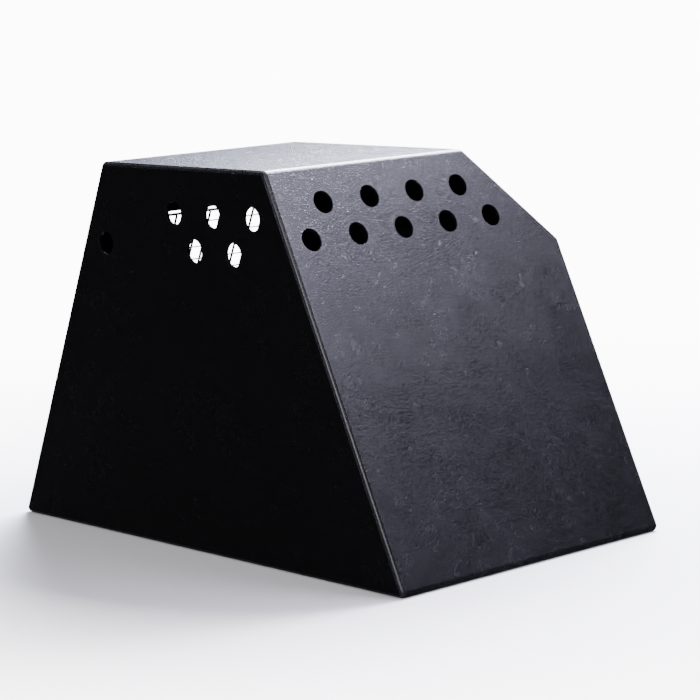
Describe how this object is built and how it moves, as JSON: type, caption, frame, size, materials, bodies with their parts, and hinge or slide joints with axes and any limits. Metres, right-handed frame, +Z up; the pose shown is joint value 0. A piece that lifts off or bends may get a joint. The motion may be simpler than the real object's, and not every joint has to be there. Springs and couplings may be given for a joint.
{
  "type": "dog transport box",
  "caption": "Dog transport box of bent black plastic sheet with sloping ends, vent holes, a slanted far side and a hinged wire door with slide bolts.",
  "frame": {"origin": "centre of the bounding box's underside, on the ground", "axes": "+X towards the closed sloping end, -X the door end, -Y the flat vented side, +Z up"},
  "size_m": [0.9961, 0.592, 0.646],
  "materials": {
    "black_sheet": "fine hair-cell grain, satin",
    "weld_rod": "smooth, as run",
    "black_wire": "satin powder coat",
    "zinc_steel": "bright zinc plate",
    "aluminium": "plain rivets"
  },
  "bodies": {
    "box": {"end_and_roof_sheet": "black_sheet", "floor_tray": "black_sheet", "near_side_panel": "black_sheet", "far_side_panel": "black_sheet", "near_side_weld": "weld_rod", "far_side_weld": "weld_rod", "lower_hinge_strap": "zinc_steel", "lower_keeper": "zinc_steel", "lower_door_stop": "zinc_steel", "lower_hinge_rivet_1": "aluminium", "lower_hinge_rivet_2": "aluminium", "lower_keeper_rivet_1": "aluminium", "lower_keeper_rivet_2": "aluminium", "upper_hinge_strap": "zinc_steel", "upper_keeper": "zinc_steel", "upper_door_stop": "zinc_steel", "upper_hinge_rivet_1": "aluminium", "upper_hinge_rivet_2": "aluminium", "upper_keeper_rivet_1": "aluminium", "upper_keeper_rivet_2": "aluminium"},
    "door": {"door_frame": "black_wire", "door_mesh": "black_wire", "lower_bolt_plate": "zinc_steel", "lower_bolt_backplate": "zinc_steel", "lower_bolt_screw_1": "zinc_steel", "lower_bolt_screw_2": "zinc_steel", "lower_bolt_nut_1": "zinc_steel", "lower_bolt_nut_2": "zinc_steel", "upper_bolt_plate": "zinc_steel", "upper_bolt_backplate": "zinc_steel", "upper_bolt_screw_1": "zinc_steel", "upper_bolt_screw_2": "zinc_steel", "upper_bolt_nut_1": "zinc_steel", "upper_bolt_nut_2": "zinc_steel"},
    "lower_bolt": {"lower_bolt": "zinc_steel"},
    "upper_bolt": {"upper_bolt": "zinc_steel"}
  },
  "joints": [
    {"name": "door_hinge", "type": "hinge", "parent": "box", "child": "door", "pos_m": [-0.36695, 0.1706, 0.2978], "axis": [-0.4072, 0, -0.9133], "range_deg": [0, 130]},
    {"name": "lower_bolt_slide", "type": "slide", "parent": "door", "child": "lower_bolt", "axis": [0, -1, 0], "range_m": [0, 0.024]},
    {"name": "upper_bolt_slide", "type": "slide", "parent": "door", "child": "upper_bolt", "axis": [0, -1, 0], "range_m": [0, 0.024]}
  ]
}
